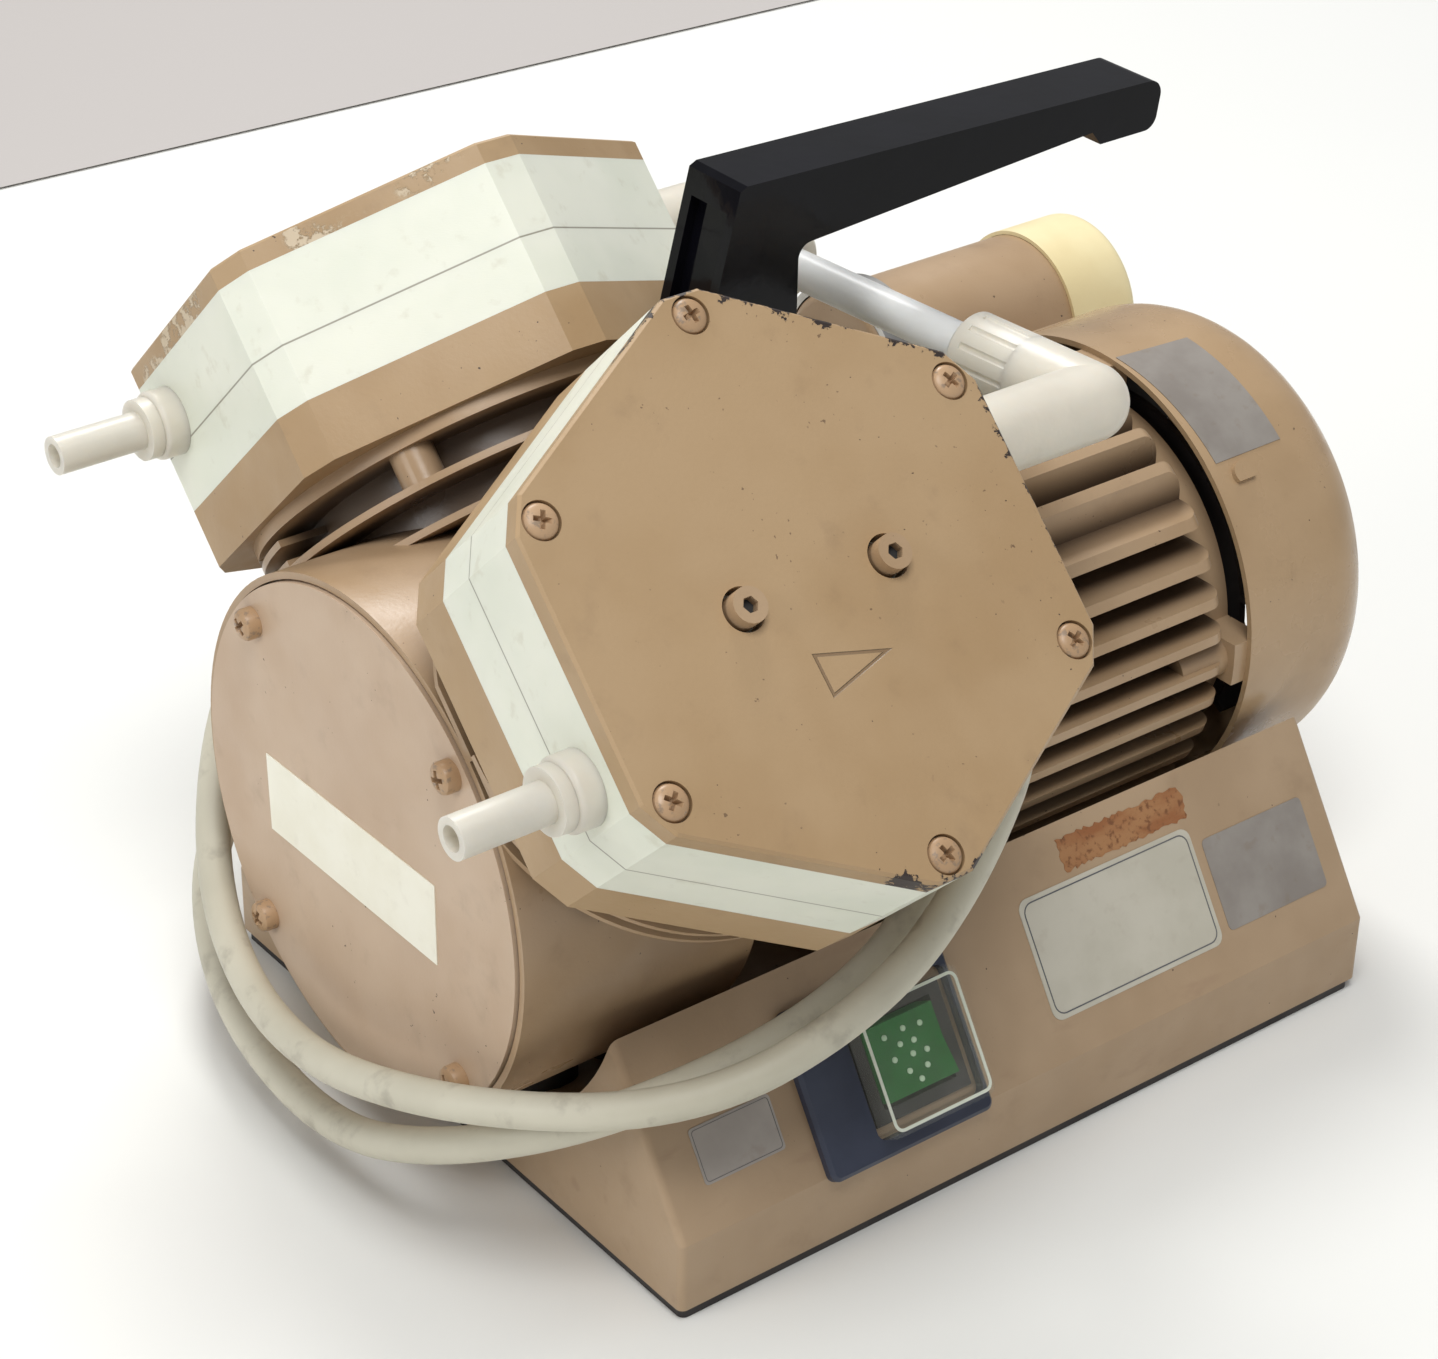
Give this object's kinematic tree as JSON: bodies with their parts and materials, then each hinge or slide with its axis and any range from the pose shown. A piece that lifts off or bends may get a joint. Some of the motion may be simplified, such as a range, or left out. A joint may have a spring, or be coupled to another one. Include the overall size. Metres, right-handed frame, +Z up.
{
  "type": "twin-head diaphragm vacuum pump",
  "caption": "Tan diaphragm vacuum pump with two hexagonal heads in a V, white head plates, finned motor, black carrying handle and a console base with a lit rocker switch.",
  "frame": {"origin": "on the table under the middle of the console base", "axes": "+X from the crankcase cover to the fan cover, +Y from the operator's side to the back, +Z up"},
  "size_m": [0.3639, 0.3812, 0.237],
  "materials": {
    "tan_paint": "semi-gloss",
    "white_plastic": "matte",
    "milky_plastic": "translucent",
    "black_rubber": "matte",
    "black_gloss": "gloss",
    "dark_plastic": "matte",
    "green_plastic": "gloss",
    "clear_cover": "clear",
    "cream_plastic": "satin",
    "cord_grey": "matte",
    "cast_aluminium": "cast",
    "core_steel": "dull",
    "bright_steel": "machined"
  },
  "bodies": {
    "pump_body": {"base_housing": "tan_paint", "base_mat": "dark_plastic", "capacitor": "tan_paint", "capacitor_cap": "cream_plastic", "capacitor_clamp": "bright_steel", "centre_screws": "tan_paint", "connecting_tube": "milky_plastic", "cover_gasket": "black_rubber", "cover_screws": "tan_paint", "crankcase": "tan_paint", "crankcase_cover": "tan_paint", "diaphragm_1": "black_rubber", "diaphragm_2": "black_rubber", "drive_bearing": "bright_steel", "elbow_1": "milky_plastic", "elbow_2": "milky_plastic", "fan_bearing": "bright_steel", "fan_cover": "tan_paint", "fan_shield": "tan_paint", "flange_screws": "bright_steel", "handle": "black_gloss", "handle_screws": "bright_steel", "head_flange_1": "tan_paint", "head_flange_2": "tan_paint", "head_plate_1": "white_plastic", "head_plate_2": "white_plastic", "hose_nozzle_1": "milky_plastic", "hose_nozzle_2": "milky_plastic", "middle_plate_1": "white_plastic", "middle_plate_2": "white_plastic", "motor_housing": "tan_paint", "mounting_bolts": "bright_steel", "plate_screws": "tan_paint", "plug": "dark_plastic", "power_cord": "cord_grey", "pressure_plate_1": "tan_paint", "pressure_plate_2": "tan_paint", "rubber_buffers": "black_rubber", "shield_screws": "bright_steel", "stator": "core_steel", "strain_relief": "black_rubber", "switch_bezel": "dark_plastic", "switch_body": "dark_plastic", "switch_cover": "clear_cover", "union_nut_1": "milky_plastic", "union_nut_2": "milky_plastic", "valve_sheet_1": "black_rubber", "valve_sheet_2": "black_rubber"},
    "rotor": {"shaft": "bright_steel", "eccentric": "bright_steel", "rotor_core": "core_steel", "fan": "cast_aluminium"},
    "rod_1": {"connecting_rod_1": "cast_aluminium", "rod_bearing_1": "bright_steel", "clamp_disc_1": "cast_aluminium"},
    "rod_2": {"connecting_rod_2": "cast_aluminium", "rod_bearing_2": "bright_steel", "clamp_disc_2": "cast_aluminium"},
    "switch_rocker": {"switch_rocker": "green_plastic"}
  },
  "joints": [
    {"name": "motor_turn", "type": "hinge", "parent": "pump_body", "child": "rotor", "pos_m": [-0.0784, 0, 0.0908], "axis": [1, 0, 0], "continuous": true},
    {"name": "rod_1_turn", "type": "hinge", "parent": "rotor", "child": "rod_1", "pos_m": [-0.0784, 0, 0.0938], "axis": [1, 0, 0], "continuous": true},
    {"name": "rod_2_turn", "type": "hinge", "parent": "rotor", "child": "rod_2", "pos_m": [-0.0616, 0, 0.0938], "axis": [1, 0, 0], "continuous": true},
    {"name": "switch_tilt", "type": "hinge", "parent": "pump_body", "child": "switch_rocker", "pos_m": [-0.0379, -0.08571, 0.03778], "axis": [1, 0, 0], "range_deg": [0, 14]}
  ],
  "couplings": [
    {"joint": "rod_1_turn", "follows": "motor_turn", "ratio": -1},
    {"joint": "rod_2_turn", "follows": "motor_turn", "ratio": -1}
  ]
}
